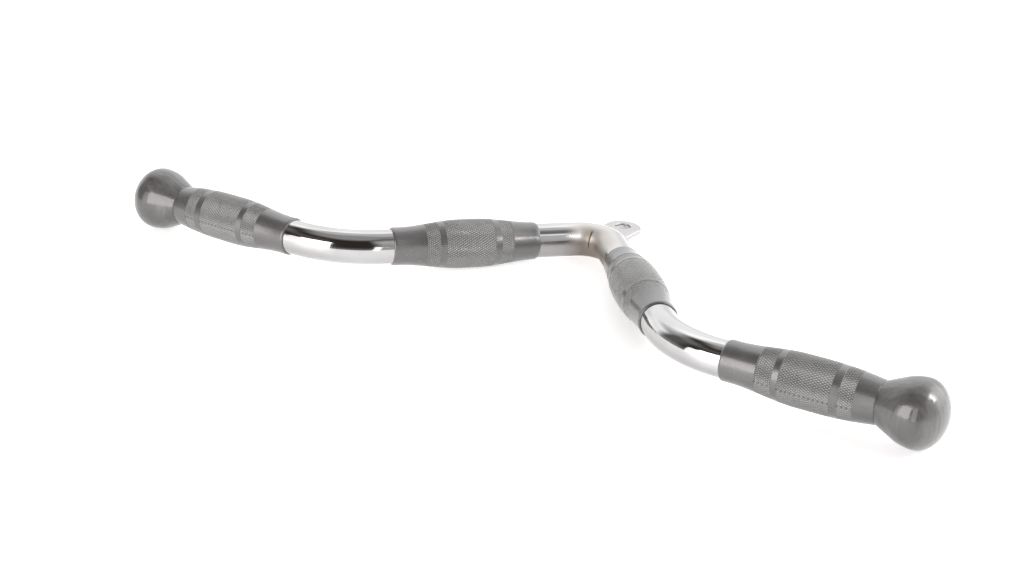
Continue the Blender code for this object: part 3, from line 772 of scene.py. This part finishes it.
def moulded_grip_rubber():
    """Moulded natural rubber, charcoal and satin. Its mould leaves a fine grain, storage a pale cloudy
    bloom, and its skin is faintly uneven. On the knurl the tops are painted pale as a painted
    highlight, and the grooves painted near black as painted shade. The grain is 0.2 mm across on real
    rubber and is drawn 0.8 mm across, so that it shows."""
    made, tree, place = new_material("moulded_grip_rubber")
    rise = node(tree, "ShaderNodeAttribute", attribute_name="rise").outputs["Fac"]
    knurled = node(tree, "ShaderNodeAttribute", attribute_name="knurled").outputs["Fac"]
    broad = node(tree, "ShaderNodeTexNoise", [
        ("Vector", place), ("Scale", wavelength(22)), ("Detail", 5.0), ("Roughness", 0.62),
        ("Distortion", 0.4)]).outputs[0]
    bloom = node(tree, "ShaderNodeMapRange", [
        ("Value", broad), ("From Min", 0.36), ("From Max", 0.68)]).outputs[0]
    clean = node(tree, "ShaderNodeMix", [
        (0, bloom), (6, srgb("#383737")), (7, srgb("#444343"))], data_type="RGBA").outputs[2]
    # Painted light on the knurl: its tops are painted pale as a highlight and its grooves near black as
    # shade
    painted_top_highlight = node(tree, "ShaderNodeMix", [
        (0, bloom), (6, srgb("#868786")), (7, srgb("#9B9C9A"))], data_type="RGBA").outputs[2]
    knurl_painted_light = node(tree, "ShaderNodeMix", [
        (0, rise), (6, srgb("#161616")), (7, painted_top_highlight)], data_type="RGBA").outputs[2]
    grooved = node(tree, "ShaderNodeMix", [
        (0, knurled), (6, clean), (7, knurl_painted_light)], data_type="RGBA").outputs[2]
    grain = node(tree, "ShaderNodeTexNoise", [
        ("Vector", place), ("Scale", wavelength(0.8)), ("Detail", 2.0)]).outputs[0]
    speck = node(tree, "ShaderNodeMapRange", [
        ("Value", grain), ("From Min", 0.3), ("From Max", 0.7), ("To Min", 0.88), ("To Max", 1.12)])
    shade = node(tree, "ShaderNodeVectorMath", [(0, grooved), (1, speck.outputs[0])],
                 operation="MULTIPLY").outputs[0]
    smooth = node(tree, "ShaderNodeMapRange", [
        ("Value", bloom), ("To Min", 0.2), ("To Max", 0.3)]).outputs[0]
    rough = node(tree, "ShaderNodeMath", [(0, knurled), (1, 0.04), (2, smooth)],
                 operation="MULTIPLY_ADD").outputs[0]
    uneven = node(tree, "ShaderNodeTexNoise", [
        ("Vector", place), ("Scale", wavelength(2.6)), ("Detail", 2.0)]).outputs[0]
    finish_material(tree, [(uneven, 0.05), (grain, 0.02)], [
        *RUBBER, ("Roughness", 0.5), ("Coat IOR", 1.65), ("Base Color", shade),
        ("Coat Roughness", rough)])
    return made


def moulded_knob_rubber():
    """Moulded rubber knob, smooth and glossier than the grips. Smears of dust and mould release dull it
    in slanted streaks."""
    made, tree, place = new_material("moulded_knob_rubber")
    slanted = node(tree, "ShaderNodeMapping", [
        ("Vector", place), ("Rotation", (0.0, 0.5, 0.7)),
        ("Scale", (wavelength(40), wavelength(6), wavelength(16)))]).outputs[0]
    smears = node(tree, "ShaderNodeTexNoise", [
        ("Vector", slanted), ("Scale", 1.0), ("Detail", 4.0), ("Roughness", 0.6),
        ("Distortion", 0.2)]).outputs[0]
    smeared = node(tree, "ShaderNodeMapRange", [
        ("Value", smears), ("From Min", 0.4), ("From Max", 0.7)]).outputs[0]
    tint = node(tree, "ShaderNodeMix", [
        (0, smeared), (6, srgb("#2C2B2B")), (7, srgb("#555252"))], data_type="RGBA").outputs[2]
    rough = node(tree, "ShaderNodeMapRange", [
        ("Value", smeared), ("To Min", 0.09), ("To Max", 0.28)]).outputs[0]
    grain = node(tree, "ShaderNodeTexNoise", [
        ("Vector", place), ("Scale", wavelength(1.1)), ("Detail", 2.0)]).outputs[0]
    uneven = node(tree, "ShaderNodeTexNoise", [
        ("Vector", place), ("Scale", wavelength(3.5)), ("Detail", 2.0)]).outputs[0]
    finish_material(tree, [(uneven, 0.06), (grain, 0.015)], [
        *RUBBER, ("Roughness", 0.6), ("Coat IOR", 1.6), ("Base Color", tint),
        ("Coat Roughness", rough)])
    return made


def zinc_plated_steel():
    """Bright zinc plate on turned steel, for the knob's insert and stud: a grey metal with a
    mottled, slightly yellow passivation and the lathe's fine rings. They are 0.2 mm apart on real
    steel and are drawn 2.5 mm apart. A wave texture has 10 / pi rings for each unit of its scale."""
    made, tree, place = new_material("zinc_plated_steel", follows_shape=False)
    mottle = node(tree, "ShaderNodeTexNoise", [
        ("Vector", place), ("Scale", wavelength(5)), ("Detail", 3.0)]).outputs[0]
    tint = node(tree, "ShaderNodeMix", [
        (0, mottle), (6, srgb("#AEB0B1")), (7, srgb("#C3BFAE"))], data_type="RGBA").outputs[2]
    rough = node(tree, "ShaderNodeMapRange", [
        ("Value", mottle), ("To Min", 0.28), ("To Max", 0.45)]).outputs[0]
    rings = node(tree, "ShaderNodeTexWave", [
        ("Vector", place), ("Scale", pi / 10 * wavelength(2.5133)), ("Distortion", 0.6)],
        bands_direction="X").outputs[1]
    finish_material(tree, [(rings, 0.01)], [
        ("Metallic", 1.0), ("Base Color", tint), ("Roughness", rough)])
    return made


def lit_opal_acrylic():
    """The studio's light table: an opal acrylic sheet lit from below, so that shadows on it stay faint.
    Its glow is slightly uneven, and under the part it is lowered over a soft round spot, a painted
    shadow. Its top has a fine satin pebble."""
    made, tree, place = new_material("lit_opal_acrylic", follows_shape=False)
    cloud = node(tree, "ShaderNodeTexNoise", [
        ("Vector", place), ("Scale", wavelength(400)), ("Detail", 3.0)]).outputs[0]
    tint = node(tree, "ShaderNodeMix", [
        (0, cloud), (6, srgb("#E8E8E7")), (7, srgb("#EEEEED"))], data_type="RGBA").outputs[2]
    tubes = node(tree, "ShaderNodeMapRange", [
        ("Value", cloud), ("To Min", 0.60), ("To Max", 0.68)]).outputs[0]
    # Painted shadow: the glow is lowered round a spot on the floor under the part
    from_painted_shadow = node(tree, "ShaderNodeVectorMath", [(0, place), (1, PAINTED_SHADOW_PLACE)],
                         operation="DISTANCE").outputs[1]
    glow = node(tree, "ShaderNodeMapRange", [
        ("Value", from_painted_shadow), ("From Min", PAINTED_SHADOW_REACH[0]), ("From Max", PAINTED_SHADOW_REACH[1]),
        ("To Min", PAINTED_SHADOW_GLOW), ("To Max", tubes)], interpolation_type="SMOOTHSTEP").outputs[0]
    rough = node(tree, "ShaderNodeMapRange", [
        ("Value", cloud), ("To Min", 0.42), ("To Max", 0.5)]).outputs[0]
    pebble = node(tree, "ShaderNodeTexNoise", [
        ("Vector", place), ("Scale", wavelength(2.5)), ("Detail", 2.0)]).outputs[0]
    finish_material(tree, [(pebble, 0.02)], [
        ("IOR", 1.49), ("Emission Color", WHITE), ("Base Color", tint), ("Emission Strength", glow),
        ("Roughness", rough)])
    return made


def make_camera():
    """The camera at the photograph's viewing angle: it looks along its azimuth and down by its
    elevation, and is rolled about that line."""
    level = Vector((cos(CAMERA_AZIMUTH), sin(CAMERA_AZIMUTH), 0))
    forward = Vector((-sin(CAMERA_AZIMUTH) * cos(CAMERA_ELEVATION),
                      cos(CAMERA_AZIMUTH) * cos(CAMERA_ELEVATION), -sin(CAMERA_ELEVATION)))
    up = level.cross(forward)
    right = level * cos(CAMERA_ROLL) + up * sin(CAMERA_ROLL)
    up = right.cross(forward)
    place = Matrix((right, up, -forward)).transposed().to_4x4()
    place.translation = CAMERA_PLACE
    data = bpy.data.cameras.new("camera")
    data.lens = CAMERA_LENS
    data.sensor_width = CAMERA_SENSOR
    data.clip_end = CAMERA_REACH
    camera = bpy.data.objects.new("camera", data)
    camera.matrix_world = place
    bpy.context.scene.collection.objects.link(camera)
    bpy.context.scene.camera = camera


def make_floor(finish):
    """The plain pale floor, one square of it."""
    corners = [(x * FLOOR_REACH, y * FLOOR_REACH, 0) for x, y in ((-1, -1), (1, -1), (1, 1), (-1, 1))]
    mesh = bpy.data.meshes.new("studio_floor")
    mesh.from_pydata(corners, [], [(0, 1, 2, 3)])
    mesh.materials.append(finish)
    floor = bpy.data.objects.new("studio_floor", mesh)
    bpy.context.scene.collection.objects.link(floor)


def light_studio():
    """The studio's soft light, painted on the sky round the part: a dim room, and for each of
    STUDIO_LIGHT a soft-edged patch added to it. A direction (x, y, z) lies arctan2(x, -y) round and
    arcsin(z) up. A patch's share of it is edge(how far round) times edge(how far up), and edge falls
    smoothly from 1 to 0 across the patch's border."""
    world = bpy.data.worlds.new("studio_light")
    bpy.context.scene.world = world
    world.use_nodes = True
    tree = world.node_tree
    direction = node(tree, "ShaderNodeTexCoord").outputs["Generated"]
    part = node(tree, "ShaderNodeSeparateXYZ", [(0, direction)]).outputs
    forward = node(tree, "ShaderNodeMath", [(0, part["Y"]), (1, -1.0)], operation="MULTIPLY")
    azimuth = node(tree, "ShaderNodeMath", [(0, part["X"]), (1, forward.outputs[0])],
                   operation="ARCTAN2").outputs[0]
    elevation = node(tree, "ShaderNodeMath", [(0, part["Z"])], operation="ARCSINE").outputs[0]
    total = 0.0
    for round_by, up_by, half_width, half_height, border, strength in STUDIO_LIGHT:
        share = strength
        for angle, middle, half in ((azimuth, round_by, half_width), (elevation, up_by, half_height)):
            away = node(tree, "ShaderNodeMath", [(0, angle), (1, radians(middle))],
                        operation="SUBTRACT").outputs[0]
            wrapped = node(tree, "ShaderNodeMath", [(0, away), (1, pi), (2, -pi)],
                           operation="WRAP").outputs[0]
            distance = node(tree, "ShaderNodeMath", [(0, wrapped)], operation="ABSOLUTE").outputs[0]
            edge = node(tree, "ShaderNodeMapRange", [
                ("Value", distance), ("From Min", radians(half + border)),
                ("From Max", radians(half - border))], interpolation_type="SMOOTHSTEP").outputs[0]
            share = node(tree, "ShaderNodeMath", [(0, edge), (1, share)],
                         operation="MULTIPLY").outputs[0]
        total = node(tree, "ShaderNodeMath", [(0, share), (1, total)], operation="ADD").outputs[0]
    room = node(tree, "ShaderNodeBackground", [("Color", srgb("#FFEBDC")), ("Strength", ROOM_LIGHT)])
    lit = tree.nodes["Background"]
    lit.inputs["Color"].default_value = WHITE
    tree.links.new(total, lit.inputs["Strength"])
    both = node(tree, "ShaderNodeAddShader", [(0, room.outputs[0]), (1, lit.outputs[0])])
    tree.links.new(both.outputs[0], tree.nodes["World Output"].inputs["Surface"])
    bpy.context.scene.view_settings.view_transform = "Standard"


def hang_lamps():
    """The lamps near the part, as panels of light that the camera doesn't see. A panel's power is
    its radiance times pi times its area."""
    for place, faces, width, height, radiance, lights_matt in LAMPS:
        data = bpy.data.lights.new("lamp", "AREA")
        data.shape = "RECTANGLE"
        data.size = width
        data.size_y = height
        data.energy = radiance * pi * width * height
        data.color = LAMP_COLOUR
        lamp = bpy.data.objects.new("lamp", data)
        turn = (Vector(faces) - Vector(place)).to_track_quat("-Z", "Y")
        lamp.matrix_world = Matrix.Translation(place) @ turn.to_matrix().to_4x4()
        lamp.visible_camera = False
        lamp.visible_diffuse = lights_matt
        bpy.context.scene.collection.objects.link(lamp)


plane = bar_plane()
chrome = bright_chrome_plate()
ground_chrome = ground_chrome_plate()
grip_rubber = moulded_grip_rubber()
knob_rubber = moulded_knob_rubber()
steel = zinc_plated_steel()

make_bar(chrome)
make_lug(ground_chrome)
make_weld(ground_chrome)
for side_name, side in SIDES.items():
    outwards = arm_frame(side, ARM_ANGLE, inner_arm_point(side, inner_grip_end))
    facing_apex = outwards @ Matrix.Rotation(pi, 4, "X")
    beyond_bend = arm_frame(side, -OUTER_ARM_RISE, outer_arm_point(side, outer_grip_start))
    at_neck = arm_frame(side, -OUTER_ARM_RISE, outer_arm_point(side, neck))
    make_grip(f"inner_{side_name}_rubber_grip", facing_apex, False, INNER_PARTING[side], grip_rubber)
    make_grip(f"outer_{side_name}_rubber_grip", beyond_bend, True, OUTER_PARTING[side], grip_rubber)
    make_knob(side_name, at_neck, knob_rubber)
    for hidden in (f"{side_name}_knob_insert", f"{side_name}_knob_stud"):
        frame["nodes"][hidden].material_slots[0].material = steel
make_camera()
make_floor(lit_opal_acrylic())
light_studio()
hang_lamps()
